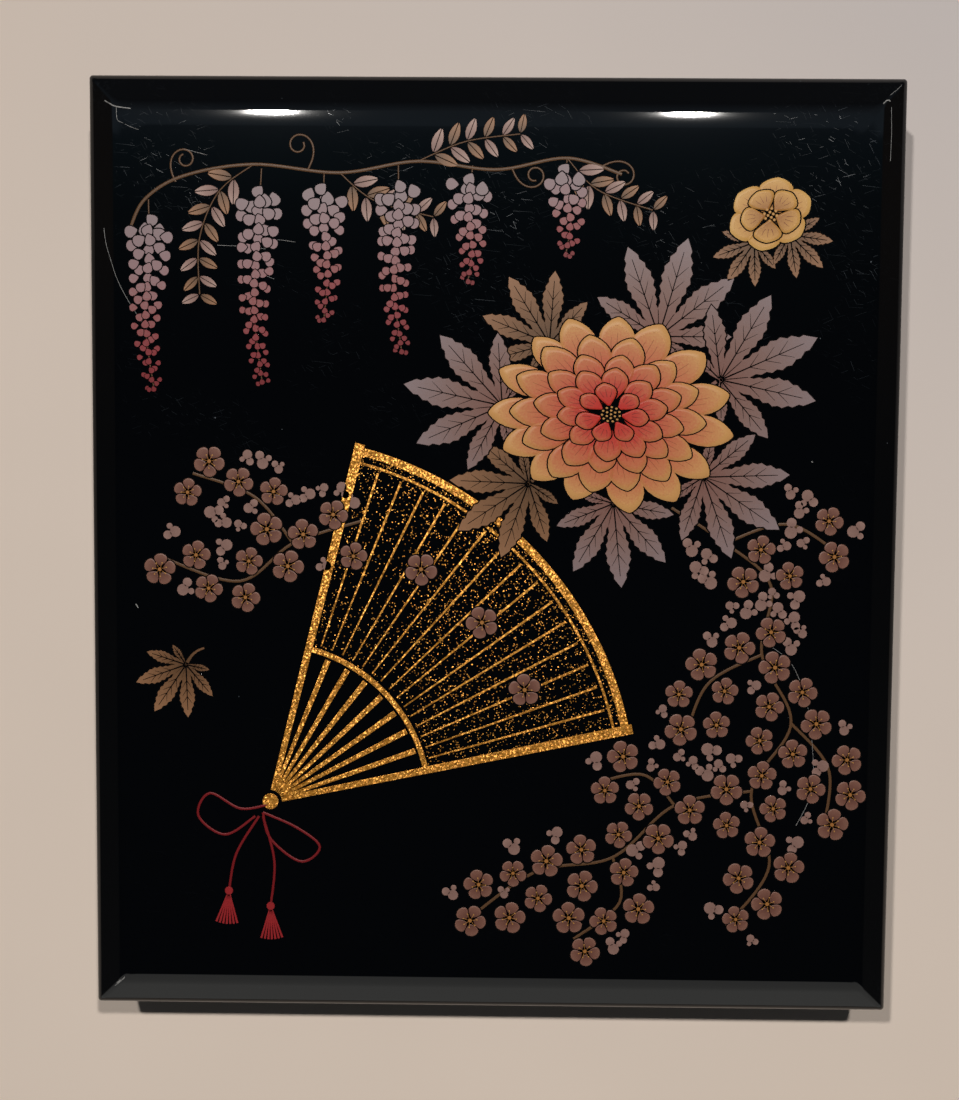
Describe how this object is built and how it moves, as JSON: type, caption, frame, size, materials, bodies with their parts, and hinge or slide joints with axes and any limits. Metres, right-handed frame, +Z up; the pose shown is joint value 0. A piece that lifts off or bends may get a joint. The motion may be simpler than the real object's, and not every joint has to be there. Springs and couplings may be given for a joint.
{
  "type": "lacquer box",
  "caption": "Flat black lacquer box on a low foot rim, with a lift-off lid that overlaps its walls and has a bevelled border round a flat decorated top.",
  "frame": {"origin": "centre of the footprint, on the surface that the box stands on", "axes": "+Z up through the lid, +Y along the lid's long side towards the top of the picture, +X along its short side towards the right of the picture"},
  "size_m": [0.211, 0.245, 0.0447],
  "materials": {
    "polished_black_lacquer": "wood core under black lacquer, polished to a mirror gloss",
    "satin_black_lacquer": "wood core under black lacquer, rubbed to a satin",
    "bare_cypress": "planed, left bare inside the joints",
    "gold_sprinkled_lacquer": "gold flake and powder sprinkled in lacquer, a film on the lid's top",
    "coloured_lacquer": "raised lacquer tinted coral, peach, mauve and tan, a film on the lid's top"
  },
  "bodies": {
    "body": {"base_board": "satin_black_lacquer", "body_wall_front": "polished_black_lacquer", "body_wall_right": "polished_black_lacquer", "body_wall_back": "polished_black_lacquer", "body_wall_left": "polished_black_lacquer", "body_tongue_front_left": "bare_cypress", "body_tongue_front_right": "bare_cypress", "body_tongue_back_right": "bare_cypress", "body_tongue_back_left": "bare_cypress", "foot_strip_front": "satin_black_lacquer", "foot_strip_right": "satin_black_lacquer", "foot_strip_back": "satin_black_lacquer", "foot_strip_left": "satin_black_lacquer"},
    "lid": {"lid_top_board": "polished_black_lacquer", "lid_wall_front": "polished_black_lacquer", "lid_wall_right": "polished_black_lacquer", "lid_wall_back": "polished_black_lacquer", "lid_wall_left": "polished_black_lacquer", "lid_tongue_front_left": "bare_cypress", "lid_tongue_front_right": "bare_cypress", "lid_tongue_back_right": "bare_cypress", "lid_tongue_back_left": "bare_cypress"}
  },
  "joints": [
    {"name": "lid_lift", "type": "slide", "parent": "body", "child": "lid", "axis": [0, 0, 1], "range_m": [0, 0.08]}
  ]
}
